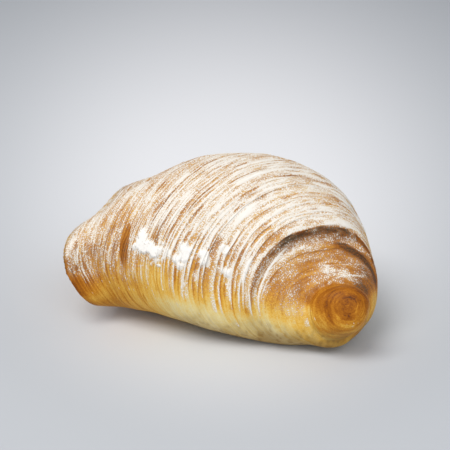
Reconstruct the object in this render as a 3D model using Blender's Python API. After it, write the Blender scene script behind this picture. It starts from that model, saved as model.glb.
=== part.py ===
"""Sfogliatella: a curled shell of thin baked pastry leaves, shut at its lip, made as one closed solid.

The leaves are wound round a bowed spine. They start at a knob, the tip of the shell, climb a steep front
to a shoulder, pass over the hump and run down to a wide flattened lip, where the shell was filled and
pressed shut. Each leaf overlaps the next one towards the tip, so its free edge is a small step.

Frame: +Z up, metres. The lip is at -X, the knob at +X and turned towards -Y. The origin lies on the
surface that the pastry rests on, under the middle of its box. Sizes below are in millimetres.
"""
import math
from collections import namedtuple

import bmesh
import bpy
import numpy as np

MM = 0.001
NODE = "pastry"

# Spine, seen from above: a shallow bow that the sections are threaded on, from the tip to the lip.
SPINE_TIP_X = 37.5
SPINE_LENGTH = 102.5
SPINE_PACE = 1.2           # above 1, the sections lie closer together towards the tip
BOW_X = -14.5              # where the bow stands furthest out
BOW_Y = 28.0
BOW_RADIUS = 99.0
TIP_HEADING = -41.0        # degrees from +X that a section faces, at the tip and at the lip
LIP_HEADING = 18.0
HEADING_PACE = 1.25
LEAN = -8.0                # degrees that each section leans back from upright

# The knob turns and leans further than the sections behind it.
KNOB_TURN = -12.0
KNOB_LEAN = -15.0
KNOB_HOOK = 1.2            # how far it is drawn to the side
KNOB_RUN = 0.20            # share over which all this fades away

# The underside of the lip reaches back over this share, and so far.
LIP_SWEEP_FROM = 0.72
LIP_SWEEP = 7.4

# Sections across the spine: share of the way from tip to lip, half width, heights of top, widest line
# and bottom. A bottom below zero is cut away flat.
Section = namedtuple("Section", "share half_width top middle bottom")
SECTIONS = (
    Section(0.00, 8.7, 29.8, 21.5, 11.9),     # knob
    Section(0.08, 9.6, 25.5, 18.3, 8.0),
    Section(0.12, 10.8, 26.3, 16.7, 2.9),     # neck behind the knob
    Section(0.16, 18.2, 28.7, 16.9, 2.2),     # foot of the steep front
    Section(0.25, 24.6, 41.8, 19.0, -0.8),    # shoulder
    Section(0.42, 37.0, 54.9, 23.2, -1.2),
    Section(0.60, 38.9, 56.2, 26.0, -1.5),    # hump
    Section(0.82, 36.0, 47.7, 24.5, -0.2),
    Section(0.93, 33.0, 39.6, 22.6, 0.2),     # waist behind the lip
    Section(1.00, 35.7, 34.4, 20.9, 1.3),     # lip
)
KNOB_SHARE = 0.08          # over this share the sections close to a round end

# Sections are superellipses. 2 is an ellipse, and more is squarer.
FULL_FROM, FULL_TOP, FULL_BOTTOM = 0.3, 2.1, 2.35
BLUNT_FROM, BLUNT_TOP, BLUNT_BOTTOM = 0.7, 1.2, 0.5    # how much squarer they are at the lip
PINCH_FROM = 0.8           # share where the top and bottom start to draw together for the lip
PINCH = 0.28
PINCH_WIDTH = 0.55

# Leaves.
LEAVES = 26
LEAF_ROWS = ((0.0, -1.0), (0.2, 0.35), (0.6, -0.2))    # place in a leaf, height in leaf steps
LEAF_STEP = 1.0            # height of a free edge over the groove before it
STEP_FROM, STEP_FULL = 0.03, 0.14
CREASE_AT, CREASE_WIDTH, CREASE_DEPTH = 0.102, 0.012, 0.9
SHOULDER_AT, SHOULDER_RUN, SHOULDER_STEP = 0.236, 0.12, 2.0
SHOULDER_SLOPE, SHOULDER_ROUND = 0.022, 0.004    # shares of the slope up to its edge and of its rounding
SHOULDER_FADE = (-0.6, 0.3)        # sine of the angle round a section over which the shoulder comes up
UNDERSIDE_FADE = (-0.95, -0.55)    # upward part of the normal over which the pressed leaves come up
SEGMENTS = 56

# Lip: rings inside the last section, as shares of its width and height, and how far they stand out.
# They swell out from the last leaf, and turn in to the seam where the shell was pressed shut.
LIP_RINGS = (
    (0.99, 0.96, 1.2), (0.965, 0.86, 2.8), (0.935, 0.66, 4.3), (0.91, 0.38, 4.2), (0.89, 0.14, 1.8),
    (0.885, 0.03, -1.2),
)
FLAT_SIDES = 0.8           # how much of that swelling is lost at the two ends of the seam

CRUST_COLOUR = (0.62, 0.36, 0.12, 1.0)
CRUST_ROUGHNESS = 0.6


def smooth_step(value, low, high):
    """0 below low, 1 above high, and a smooth climb between."""
    share = np.clip((value - low) / (high - low), 0.0, 1.0)
    return share * share * (3.0 - 2.0 * share)


def section_size(name, share):
    """One size of the sections as a smooth curve through SECTIONS."""
    places = np.array([section.share for section in SECTIONS])
    sizes = np.array([getattr(section, name) for section in SECTIONS])
    slopes = np.gradient(sizes, places)
    index = np.clip(np.searchsorted(places, share, side="right") - 1, 0, len(places) - 2)
    gap = places[index + 1] - places[index]
    t = (share - places[index]) / gap
    start = (2 * t**3 - 3 * t**2 + 1) * sizes[index] + (t**3 - 2 * t**2 + t) * gap * slopes[index]
    end = (3 * t**2 - 2 * t**3) * sizes[index + 1] + (t**3 - t**2) * gap * slopes[index + 1]
    return start + end


def section_outline(share, angle):
    """Side and rise of a section's outline, each from -1 to 1."""
    above = np.sin(angle) >= 0.0
    blunt = np.where(above, BLUNT_TOP, BLUNT_BOTTOM) * smooth_step(share, BLUNT_FROM, 1.0)
    fullness = np.where(above, FULL_TOP, FULL_BOTTOM) + blunt
    power = 2.0 + (fullness - 2.0) * np.clip(share / FULL_FROM, 0.0, 1.0)
    radius = (np.abs(np.cos(angle)) ** power + np.abs(np.sin(angle)) ** power) ** (-1.0 / power)
    return np.cos(angle) * radius, np.sin(angle) * radius


def smooth_body(share, angle, wide=1.0, tall=1.0, out=0.0):
    """The shell without its leaves. angle 0 is the side towards -Y and a quarter turn is the top.

    wide and tall shrink a section towards its spine, and out moves it along the spine past the lip.
    """
    share, angle = np.broadcast_arrays(share, angle)
    near_knob = 1.0 - smooth_step(share, 0.0, KNOB_RUN)
    spine_x = SPINE_TIP_X - SPINE_LENGTH * share**SPINE_PACE
    spine_y = BOW_Y - (spine_x - BOW_X) ** 2 / (2.0 * BOW_RADIUS) - KNOB_HOOK * near_knob
    turn = (LIP_HEADING - TIP_HEADING) * share**HEADING_PACE
    heading = np.radians(TIP_HEADING + turn + KNOB_TURN * near_knob)
    closing = np.sqrt(np.clip(1.0 - (1.0 - np.minimum(share / KNOB_SHARE, 1.0)) ** 2, 0.0, 1.0))
    middle = section_size("middle", share)

    side, rise = section_outline(share, angle)
    pinch = PINCH * np.clip((share - PINCH_FROM) / (1.0 - PINCH_FROM), 0.0, 1.0) ** 2
    rise = rise * (1.0 - pinch * np.exp(-((side / PINCH_WIDTH) ** 2)))

    reach = np.where(rise >= 0.0, section_size("top", share) - middle, middle - section_size("bottom", share))
    height = reach * closing * rise * tall
    across = section_size("half_width", share) * closing * side * wide
    lean = np.radians(LEAN + KNOB_LEAN * near_knob)
    sweep = LIP_SWEEP * smooth_step(share, LIP_SWEEP_FROM, 1.0) * np.clip(-rise, 0.0, 1.0)
    along = height * np.sin(lean) + sweep - out
    x = spine_x + np.sin(heading) * across + np.cos(heading) * along
    y = spine_y - np.cos(heading) * across + np.sin(heading) * along
    z = middle + height * np.cos(lean)
    return np.stack([x, y, z], axis=-1)


def outward_normals(grid):
    """Unit normals of a grid of rings, whose columns go round."""
    along = np.gradient(grid, axis=0)
    around = np.roll(grid, -1, axis=1) - np.roll(grid, 1, axis=1)
    normals = np.cross(around, along)
    return normals / np.maximum(np.linalg.norm(normals, axis=-1, keepdims=True), 1e-9)


def shoulder_relief(share, angle):
    """How far the shoulder stands up behind its edge. It fades away under both flanks."""
    climb = smooth_step(share, SHOULDER_AT - SHOULDER_SLOPE, SHOULDER_AT - SHOULDER_ROUND)
    behind = 1.0 - smooth_step(share - SHOULDER_AT, 0.0, SHOULDER_RUN)
    return SHOULDER_STEP * climb * behind * smooth_step(np.sin(angle), *SHOULDER_FADE)


def leaf_relief(share, angle, height_in_steps, normals):
    """How far the leaves' surface stands off the smooth body."""
    step = LEAF_STEP * smooth_step(share, STEP_FROM, STEP_FULL)
    pressed = smooth_step(normals[..., 2], *UNDERSIDE_FADE)
    crease = CREASE_DEPTH * np.exp(-(((share - CREASE_AT) / CREASE_WIDTH) ** 2))
    return (step * height_in_steps + shoulder_relief(share, angle)) * pressed - crease


def leaf_rings():
    """The rings of points over all the leaves, from the knob to the lip."""
    rows = [((leaf + place) / LEAVES, height) for leaf in range(LEAVES) for place, height in LEAF_ROWS]
    rows = rows[1:] + [(1.0, LEAF_ROWS[0][1])]
    shares = np.array([share for share, _ in rows])[:, None]
    heights = np.array([height for _, height in rows])[:, None]
    angles = np.linspace(0.0, 2.0 * math.pi, SEGMENTS, endpoint=False)[None, :]
    grid = smooth_body(shares, angles)
    normals = outward_normals(grid)
    return grid + normals * leaf_relief(shares, angles, heights, normals)[..., None]


def lip_rings():
    """The rings that swell over the lip and turn in to its pressed seam."""
    angles = np.linspace(0.0, 2.0 * math.pi, SEGMENTS, endpoint=False)[None, :]
    shares = np.array([[1.0]])
    swelling = 1.0 - FLAT_SIDES * np.cos(angles) ** 2
    rings = [smooth_body(shares, angles, wide, tall, out * swelling) for wide, tall, out in LIP_RINGS]
    return np.concatenate(rings)


def ring_mesh(rings, pole):
    """A closed mesh: a fan round the pole, a skin over the rings, and a flat end across the last one."""
    mesh = bmesh.new()
    tip = mesh.verts.new(pole)
    verts = [[mesh.verts.new(point) for point in ring] for ring in rings]
    for column in range(SEGMENTS):
        mesh.faces.new((tip, verts[0][column - 1], verts[0][column]))
    for ring, following in zip(verts[:-1], verts[1:]):
        for column in range(SEGMENTS):
            mesh.faces.new((ring[column], ring[column - 1], following[column - 1], following[column]))
    mesh.faces.new(verts[-1])
    return mesh


def cut_flat_underneath(mesh):
    """Cuts away what lies below the resting plane, and closes the cut with a flat face."""
    geometry = mesh.verts[:] + mesh.edges[:] + mesh.faces[:]
    cut = bmesh.ops.bisect_plane(
        mesh, geom=geometry, dist=1e-6, plane_co=(0, 0, 0), plane_no=(0, 0, -1), clear_outer=True
    )
    edges = [item for item in cut["geom_cut"] if isinstance(item, bmesh.types.BMEdge)]
    bmesh.ops.edgenet_fill(mesh, edges=edges)


def centre_over_origin(mesh):
    """Moves the mesh level, until the middle of its box lies over the origin."""
    places = np.array([vert.co for vert in mesh.verts])
    middle = (places.min(axis=0) + places.max(axis=0)) / 2.0
    bmesh.ops.translate(mesh, verts=mesh.verts, vec=(-middle[0], -middle[1], 0.0))


def crust_material():
    material = bpy.data.materials.new("crust")
    material.use_nodes = True
    shader = material.node_tree.nodes["Principled BSDF"]
    shader.inputs["Base Color"].default_value = CRUST_COLOUR
    shader.inputs["Roughness"].default_value = CRUST_ROUGHNESS
    shader.inputs["Metallic"].default_value = 0.0
    return material


def build_pastry():
    rings = np.concatenate([leaf_rings(), lip_rings()]) * MM
    pole = smooth_body(np.array([0.0]), np.array([0.0]))[0] * MM
    mesh = ring_mesh(rings, pole)
    cut_flat_underneath(mesh)
    centre_over_origin(mesh)
    bmesh.ops.recalc_face_normals(mesh, faces=mesh.faces)
    data = bpy.data.meshes.new(NODE)
    mesh.to_mesh(data)
    mesh.free()
    data.shade_smooth()
    data.materials.append(crust_material())
    pastry = bpy.data.objects.new(NODE, data)
    bpy.context.scene.collection.objects.link(pastry)


for old in list(bpy.data.objects):
    bpy.data.objects.remove(old, do_unlink=True)
build_pastry()
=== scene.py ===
"""Looks of the sfogliatella: fine wound leaves, their baking, and the icing sugar sifted over them.

Sizes in the shape functions are in millimetres, in a plan that is shifted at the end so that the pastry
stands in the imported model's box. +X runs from the lip to the knob, and the knob turns towards -Y.
"""
import math
from collections import namedtuple

import bpy
import numpy as np
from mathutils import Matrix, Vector


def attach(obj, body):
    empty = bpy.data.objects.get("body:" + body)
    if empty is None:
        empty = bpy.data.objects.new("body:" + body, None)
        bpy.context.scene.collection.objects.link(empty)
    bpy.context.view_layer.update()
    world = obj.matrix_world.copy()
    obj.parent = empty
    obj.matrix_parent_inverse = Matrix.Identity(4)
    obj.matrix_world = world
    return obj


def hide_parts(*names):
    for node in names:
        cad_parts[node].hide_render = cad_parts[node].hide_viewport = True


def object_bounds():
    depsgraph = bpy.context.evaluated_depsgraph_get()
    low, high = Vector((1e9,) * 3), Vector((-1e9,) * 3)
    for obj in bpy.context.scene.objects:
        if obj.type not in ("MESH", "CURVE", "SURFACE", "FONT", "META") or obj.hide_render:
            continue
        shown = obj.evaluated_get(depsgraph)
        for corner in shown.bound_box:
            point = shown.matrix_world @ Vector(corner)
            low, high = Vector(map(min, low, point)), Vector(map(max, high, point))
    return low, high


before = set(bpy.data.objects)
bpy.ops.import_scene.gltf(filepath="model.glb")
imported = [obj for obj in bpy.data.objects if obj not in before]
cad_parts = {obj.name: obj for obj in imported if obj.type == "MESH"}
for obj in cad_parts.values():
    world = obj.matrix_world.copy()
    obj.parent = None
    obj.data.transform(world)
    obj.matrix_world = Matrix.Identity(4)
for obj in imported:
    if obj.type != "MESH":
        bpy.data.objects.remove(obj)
cad_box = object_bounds()

MM = 0.001
ROUND = 2.0 * math.pi

# ---- the smooth body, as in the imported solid

SPINE_TIP_X, SPINE_LENGTH, SPINE_PACE = 37.5, 102.5, 1.2
BOW_X, BOW_Y, BOW_RADIUS = -14.5, 28.0, 99.0
TIP_HEADING, LIP_HEADING, HEADING_PACE = -41.0, 18.0, 1.25
LEAN = -8.0
KNOB_TURN, KNOB_LEAN, KNOB_HOOK, KNOB_RUN = -12.0, -15.0, 1.2, 0.20
LIP_SWEEP, LIP_SWEEP_FROM = 7.4, 0.72

Section = namedtuple("Section", "share half_width top middle bottom")
SECTIONS = (
    Section(0.00, 8.7, 29.8, 21.5, 11.9),  # knob
    Section(0.08, 9.6, 25.5, 18.3, 8.0),
    Section(0.12, 10.8, 26.3, 16.7, 2.9),  # neck behind the knob
    Section(0.16, 18.2, 28.7, 16.9, 2.2),  # foot of the steep front
    Section(0.25, 24.6, 41.8, 19.0, -0.8),  # shoulder
    Section(0.42, 37.0, 54.9, 23.2, -1.2),
    Section(0.60, 38.9, 56.2, 26.0, -1.5),  # hump
    Section(0.82, 36.0, 47.7, 24.5, -0.2),
    Section(0.93, 33.0, 39.6, 22.6, 0.2),  # waist behind the lip
    Section(1.00, 35.7, 34.4, 20.9, 1.3),  # lip
)
KNOB_SHARE = 0.08
# Sections are superellipses. 2 is an ellipse, and more is squarer.
FULL_FROM, FULL_TOP, FULL_BOTTOM = 0.3, 2.1, 2.35
BLUNT_FROM, BLUNT_TOP, BLUNT_BOTTOM = 0.7, 1.2, 0.5
PINCH_FROM, PINCH, PINCH_WIDTH = 0.8, 0.28, 0.55
CREASE_AT, CREASE_WIDTH, CREASE_DEPTH = 0.102, 0.012, 0.9
SHOULDER_AT, SHOULDER_RUN, SHOULDER_STEP = 0.236, 0.12, 2.0
BAND_WIDTH = 0.022  # share of the slope in front of the shoulder


def unit(value):
    """The value kept from 0 to 1."""
    return np.clip(value, 0, 1)


def climb(value, low, high):
    """0 below low, 1 above high, and smooth between."""
    share = unit((value - low) / (high - low))
    return share * share * (3 - 2 * share)


def fall(value, low, high):
    """1 below low, 0 above high, and smooth between."""
    return 1 - climb(value, low, high)


def beside(*parts):
    """Arrays or numbers set beside one another along a new last axis."""
    return np.stack(np.broadcast_arrays(*parts), axis=-1)


def bump(value, centre, width):
    """A bell: 1 at the centre, and small two widths from it."""
    return np.exp(-(((value - centre) / width) ** 2))


def section_size(name, share):
    """One size of the sections as a smooth curve through SECTIONS."""
    places = np.array([section.share for section in SECTIONS])
    sizes = np.array([getattr(section, name) for section in SECTIONS])
    slopes = np.gradient(sizes, places)
    index = np.clip(np.searchsorted(places, share, side="right") - 1, 0, len(places) - 2)
    gap = places[index + 1] - places[index]
    t = (share - places[index]) / gap
    start = (2 * t**3 - 3 * t**2 + 1) * sizes[index] + (t**3 - 2 * t**2 + t) * gap * slopes[index]
    end = (3 * t**2 - 2 * t**3) * sizes[index + 1] + (t**3 - t**2) * gap * slopes[index + 1]
    return start + end


def section_outline(share, angle):
    """Side and rise of a section's outline, each from -1 to 1."""
    above = np.sin(angle) >= 0
    blunt = np.where(above, BLUNT_TOP, BLUNT_BOTTOM) * climb(share, BLUNT_FROM, 1)
    fullness = np.where(above, FULL_TOP, FULL_BOTTOM) + blunt
    power = 2 + (fullness - 2) * unit(share / FULL_FROM)
    radius = (np.abs(np.cos(angle)) ** power + np.abs(np.sin(angle)) ** power) ** (-1 / power)
    return np.cos(angle) * radius, np.sin(angle) * radius


def smooth_body(share, angle, wide=1.0, tall=1.0, out=0.0):
    """The shell without its leaves. angle 0 is the side towards -Y and a quarter turn is the top."""
    share, angle = np.broadcast_arrays(share, angle)
    near_knob = fall(share, 0, KNOB_RUN)
    spine_x = SPINE_TIP_X - SPINE_LENGTH * share**SPINE_PACE
    spine_y = BOW_Y - (spine_x - BOW_X) ** 2 / (2 * BOW_RADIUS) - KNOB_HOOK * near_knob
    turn = (LIP_HEADING - TIP_HEADING) * share**HEADING_PACE
    heading = np.radians(TIP_HEADING + turn + KNOB_TURN * near_knob)
    closing = np.sqrt(unit(1 - (1 - np.minimum(share / KNOB_SHARE, 1)) ** 2))
    middle = section_size("middle", share)

    side, rise = section_outline(share, angle)
    pinch = PINCH * unit((share - PINCH_FROM) / (1 - PINCH_FROM)) ** 2
    rise = rise * (1 - pinch * np.exp(-((side / PINCH_WIDTH) ** 2)))

    top, bottom = section_size("top", share), section_size("bottom", share)
    reach = np.where(rise >= 0, top - middle, middle - bottom)
    height = reach * closing * rise * tall
    across = section_size("half_width", share) * closing * side * wide
    lean = np.radians(LEAN + KNOB_LEAN * near_knob)
    sweep = LIP_SWEEP * climb(share, LIP_SWEEP_FROM, 1) * unit(-rise)
    along = height * np.sin(lean) + sweep - out
    x = spine_x + np.sin(heading) * across + np.cos(heading) * along
    y = spine_y - np.cos(heading) * across + np.sin(heading) * along
    z = middle + height * np.cos(lean)
    return beside(x, y, z)


SHARE_NUDGE, ANGLE_NUDGE = 0.002, 0.004  # from a slope's point to each side
OFF_TIP = 0.0005  # the least share at which a slope is taken


def body_normals(share, angle):
    """Unit outward normals of the smooth body."""
    low, high = np.maximum(share - SHARE_NUDGE, OFF_TIP), np.minimum(share + SHARE_NUDGE, 1)
    along = smooth_body(high, angle) - smooth_body(low, angle)
    share = np.maximum(share, OFF_TIP)
    around = smooth_body(share, angle + ANGLE_NUDGE) - smooth_body(share, angle - ANGLE_NUDGE)
    normals = np.cross(around, along)
    return normals / np.maximum(np.linalg.norm(normals, axis=-1, keepdims=True), 1e-12)


# ---- noise

# Knots before a noise repeats: along a line, along each side in space, and in leaf widths.
LINE_KNOTS, SPACE_KNOTS, STRAND_KNOTS = 8192, 32, 1024


def line_noise(place, seed):
    """Smooth noise from -1 to 1 along a line, with a knot at each whole number."""
    knots = np.random.default_rng(seed).uniform(-1, 1, LINE_KNOTS)
    whole = np.floor(place).astype(int)
    blend = climb(place - whole, 0, 1)
    return knots[whole % LINE_KNOTS] * (1 - blend) + knots[(whole + 1) % LINE_KNOTS] * blend


def space_noise(points, cell, seed):
    """Smooth noise from -1 to 1 in space, with knots a cell apart, in millimetres."""
    knots = np.random.default_rng(seed).uniform(-1, 1, (SPACE_KNOTS, SPACE_KNOTS, SPACE_KNOTS))
    place = points / cell + 1000
    whole = np.floor(place).astype(int)
    blend = climb(place - whole, 0, 1)
    total = 0
    for corner in np.ndindex(2, 2, 2):
        index = (whole + corner) % SPACE_KNOTS
        weight = np.prod(np.where(corner, blend, 1 - blend), axis=-1)
        total += weight * knots[index[..., 0], index[..., 1], index[..., 2]]
    return total


# ---- the leaves

TURNS = 80  # leaf turns from the middle of the knob to the lip
KNOB_TURNS = 9.6
SEGMENTS = 560
# Rows across one leaf: their place in it where its groove is closed and where it is open, and their
# height in leaf steps. The free edge of a leaf overhangs an open groove.
Row = namedtuple("Row", "closed open height")
ROWS = (
    Row(0.00, 0.00, -0.60), Row(0.08, 0.02, -0.10), Row(0.17, 0.05, 0.42), Row(0.28, 0.12, 0.55),
    Row(0.43, 0.30, 0.32), Row(0.62, 0.55, 0.00), Row(0.82, 0.80, -0.38),
)
ROW_COUNT = len(ROWS)
LAST_ROW = (TURNS - 1) * ROW_COUNT
CREST_HEIGHT, GROOVE_HEIGHT = 0.55, -0.60
SECOND_HALF_ROW = 5  # from this row on, the next leaf's groove is the nearer one
START_ANGLE = -0.5 * math.pi
LEAF_TRAIL = 0.070  # share by which the leaves lie nearer the lip under the belly than on top

# Points of the crust: turn counts leaves along the spiral, place is the share of the leaf's width, height
# is in leaf steps, degrees go round the section, up is how far the crust faces upward, band is 1 on the
# burnt slope, and open is 1 where the groove beside the point stands open.
Spot = namedtuple("Spot", "turn place height share degrees points up band open")


def edge_share(turn):
    """Where a leaf's edge lies after so many turns, before anything wanders."""
    on_knob = KNOB_SHARE * (1 - np.cos(0.5 * math.pi * np.minimum(turn / KNOB_TURNS, 1)))
    on_body = (1 - KNOB_SHARE) * (turn - KNOB_TURNS) / (TURNS - KNOB_TURNS)
    return np.where(turn < KNOB_TURNS, on_knob, KNOB_SHARE + on_body)


def wandering_edge(turn):
    """The same with neighbouring leaves set unevenly apart, so that some nearly meet."""
    pitch = (1 - KNOB_SHARE) / (TURNS - KNOB_TURNS)
    loose = climb(turn, 2, 12) * fall(turn, TURNS - 3, TURNS - 0.5)
    shift = 0.34 * line_noise(turn * 6, 11) + 0.10 * line_noise(turn * 31, 12)
    return edge_share(turn) + pitch * loose * (shift + 0.65 * line_noise(turn * 0.61, 13))


def trail(share, angle):
    """How far the leaves run back toward the lip on their way down, except on the knob and the lip."""
    below = climb(-np.sin(angle), -0.96, 0.20)
    return LEAF_TRAIL * below * climb(share, 0.24, 0.50) * fall(share, 0.78, 0.98)


def grooves_open(groove, angle):
    """How open a groove stands, 0 to 1: on top the sugar closes most of them, on the flanks few.

    groove counts turns along the spiral to the groove's own place in it.
    """
    run = 0.70 * line_noise(groove * 13, 24) + 0.35 * line_noise(groove * 37, 25)
    cluster = 0.34 * line_noise(edge_share(groove) * 26, 14) * line_noise(angle * 2.2, 15)
    bias = 0.42 - 0.44 * climb(np.sin(angle), 0.40, 0.75)
    bias -= 0.16 * climb(edge_share(groove), 0.60, 0.75)
    return climb(run + cluster + bias, 0, 0.9) * climb(groove, 0, 4)


def leaf_points(row, column):
    """turn, place, share, angle, height and openness of points of the wound leaves."""
    row, column = np.broadcast_arrays(row, column)
    turn = row // ROW_COUNT + column / SEGMENTS
    angle = START_ANGLE + ROUND * column / SEGMENTS
    row = row % ROW_COUNT
    openness = grooves_open(turn + (row >= SECOND_HALF_ROW), angle)
    closed, opened, height = (np.array(sizes)[row] for sizes in zip(*ROWS))
    place = closed + (opened - closed) * openness
    first, second = wandering_edge(turn), wandering_edge(turn + 1)
    share = unit(first + (second - first) * place)
    share = unit(share + trail(share, angle))
    return turn, np.maximum(place, 0), share, angle, height, openness


def strand_noise(spot, across, along, seed):
    """Noise from -1 to 1 over the wound sheet, with across cells to a leaf and along cells to a turn."""
    knots = np.random.default_rng(seed).uniform(-1, 1, (STRAND_KNOTS, along))
    leaf_place = (spot.turn + spot.place) * across
    turn_place = (spot.degrees + 90) / 360 * along
    leaf, cell = np.floor(leaf_place).astype(int), np.floor(turn_place).astype(int)
    over, on = climb(leaf_place - leaf, 0, 1), climb(turn_place - cell, 0, 1)

    def strand(row):
        row = row % STRAND_KNOTS
        return knots[row, cell % along] * (1 - on) + knots[row, (cell + 1) % along] * on

    return strand(leaf) * (1 - over) + strand(leaf + 1) * over


# ---- sugar and baking

# Places on the crust are a share of the way from the knob to the lip and degrees round the section, with 0
# at the side towards -Y and 90 on top. Radii are in millimetres.
Heap = namedtuple("Heap", "share degrees radius amount")
HEAPS = [Heap(*sizes) for sizes in (
    # on the left flank
    (0.650, 25.0, 1.3, 1.0), (0.645, 22.0, 1.9, 1.3), (0.640, 18.0, 2.5, 1.3), (0.628, 14.5, 2.3, 1.3),
    (0.598, 15.5, 2.5, 1.3), (0.566, 13.5, 2.5, 1.3), (0.532, 15.0, 1.7, 0.6), (0.505, 16.0, 1.2, 0.4),
    (0.560, 9.5, 1.3, 0.7), (0.590, 10.0, 1.0, 0.7), (0.684, 15.0, 0.9, 0.8),
    # under the hump and under the shoulder
    (0.434, 21.5, 2.1, 1.2), (0.436, 17.5, 1.9, 1.1), (0.460, 14.5, 1.7, 1.0), (0.444, 11.5, 1.2, 0.8),
    (0.374, 22.0, 1.6, 1.0), (0.367, 18.5, 1.6, 1.0), (0.325, 29.0, 1.3, 0.6), (0.305, 16.0, 1.7, 0.8),
    # a thin patch above the knob
    (0.151, 89.0, 1.6, 0.42), (0.147, 96.0, 1.4, 0.36),
    (0.137, 111.0, 1.7, 0.34), (0.130, 121.0, 1.2, 0.28),
)]
# A leaf edge that the sugar picked out, from low to high in degrees with soft ends. Its share changes by
# drift a degree, from drift_from to drift_to.
Ring = namedtuple("Ring", "share drift drift_from drift_to width low high soft amount")
RINGS = (
    Ring(0.2065, 0.00028, 20.0, 60.0, 0.0030, -8.0, 62.0, 9.0, 1.35),  # in front of the burnt slope
    Ring(0.2167, -0.00040, 52.0, 92.0, 0.0022, 64.0, 86.0, 6.0, 0.90),  # above it
    Ring(0.1985, 0.0, 0.0, 90.0, 0.0020, 10.0, 34.0, 6.0, 0.80),  # inside it
    Ring(0.2595, 0.0, 0.0, 90.0, 0.0060, 13.0, 35.0, 5.0, 1.30),  # behind the burnt slope
)
KNOB_RIM = Ring(0.0982, 0.00070, 66.0, 148.0, 0.0040, 74.0, 140.0, 8.0, 1.0)
HEAP_SUGAR = 1.2  # sugar at the middle of a heap of amount 1
MOST_SUGAR = 1.6

BARE_LEAF_SHARE, BARE_LEAF_HALF_WIDTH = 0.741, 0.029
BARE_LEAF_TOP, BARE_LEAF_BOTTOM = 33.0, 3.0
BARE_LEAF_TAPER = 0.6  # how much narrower it is at its ends
BAND_LOW, BAND_HIGH = 14.0, 168.0
SECOND_BAND_SHARE, SECOND_BAND_DRIFT, SECOND_BAND_WIDTH = 0.203, -0.00058, 0.0095
SECOND_BAND_LOW, SECOND_BAND_HIGH = 106.0, 172.0
FRONT_FROM, FRONT_TO = 0.198, 0.222  # in front of the shoulder
LEFT_FROM, LEFT_TO = 0.60, 0.74  # the flank that leads to the lip
LIP_EDGE_FROM, LIP_EDGE_TO = 0.955, 0.972  # the last leaves
KNOB_SUGAR_FROM, KNOB_SUGAR_TO = 0.092, 0.128


def within(value, low, high, soft):
    """1 from low to high and 0 outside, with soft ends."""
    return climb(value, low - soft, low + soft) * fall(value, high - soft, high + soft)


def heaps_at(points):
    """Thick spoonfuls of sugar: 0 away from them, and 1 or so in the middle of one."""
    ragged = 1 + 0.42 * space_noise(points, 2.4, 31) + 0.45 * space_noise(points, 0.9, 32)
    total = np.zeros(points.shape[:-1])
    for heap in HEAPS:
        centre = smooth_body(np.array(heap.share), np.array(math.radians(heap.degrees)))
        distance = np.linalg.norm(points - centre, axis=-1)
        total = np.maximum(total, heap.amount * np.exp(-((distance * ragged / heap.radius) ** 4)))
    return total


def ring_at(ring, spot):
    """How much sugar one ring holds."""
    drifted = np.clip(spot.degrees, ring.drift_from, ring.drift_to) - ring.drift_from
    across = bump(spot.share, ring.share + ring.drift * drifted, ring.width)
    return ring.amount * across * within(spot.degrees, ring.low, ring.high, ring.soft)


def rings_at(spot):
    """How much sugar the rings hold together. The one on the knob's rim is crumbly."""
    crumbly = 0.55 + 0.9 * space_noise(spot.points, 2.2, 36)
    return np.maximum.reduce([crumbly * ring_at(KNOB_RIM, spot)] + [ring_at(ring, spot) for ring in RINGS])


def shoulder_edge(degrees):
    """The share at which the shoulder's edge runs, which falls back on the far flank."""
    slow = 0.00004 * np.maximum(degrees - 60, 0)
    return SHOULDER_AT - slow - 0.0009 * np.maximum(degrees - 130, 0)


def band_at(share, degrees, points):
    """1 on the burnt slope in front of the shoulder, 0 elsewhere."""
    edge = shoulder_edge(degrees) + 0.0012 * space_noise(points, 3, 33)
    width = BAND_WIDTH * (0.60 + 0.55 * within(degrees, 25, 125, 25))
    front = climb(share, edge - width - 0.003, edge - width + 0.006)
    back = fall(share, edge - 0.001, edge + 0.001)
    return front * back * within(degrees, BAND_LOW, BAND_HIGH, 14)


def second_band_at(spot):
    """1 on a browner leaf in front of the burnt one, on the far side."""
    place = SECOND_BAND_SHARE + SECOND_BAND_DRIFT * (spot.degrees - 116)
    across = np.minimum(1.4 * bump(spot.share, place, SECOND_BAND_WIDTH), 1)
    return across * within(spot.degrees, SECOND_BAND_LOW, SECOND_BAND_HIGH, 10)


def bare_leaf_at(spot):
    """1 on the broad bare leaf of the left flank."""
    middle = (BARE_LEAF_BOTTOM + BARE_LEAF_TOP) / 2
    from_middle = unit(np.abs(spot.degrees - middle) / (BARE_LEAF_TOP - middle))
    half_width = BARE_LEAF_HALF_WIDTH * (1 - BARE_LEAF_TAPER * from_middle**2)
    across = fall(np.abs(spot.share - BARE_LEAF_SHARE) / half_width, 0.7, 1)
    return across * within(spot.degrees, BARE_LEAF_BOTTOM, BARE_LEAF_TOP, 7)


def low_left_at(spot):
    """1 on the lower flank toward the lip, which is browner and holds less sugar."""
    toward_lip = climb(spot.share, 0.66, 0.76) * fall(spot.share, 0.945, 0.965)
    return toward_lip * within(spot.up, -0.12, 0.36, 0.12)


def far_side_at(spot):
    """1 round behind the front, where little sugar fell."""
    return climb(spot.degrees, 135, 165) * fall(spot.share, 0.28, 0.36)


def front_at(spot):
    """1 in front of the shoulder."""
    return fall(spot.share, FRONT_FROM, FRONT_TO)


def flank_at(spot):
    """1 where the crust is steep."""
    return fall(spot.up, 0.40, 0.70)


def on_lip_at(spot):
    """1 on the last leaves."""
    return climb(spot.share, LIP_EDGE_FROM, LIP_EDGE_TO)


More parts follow.
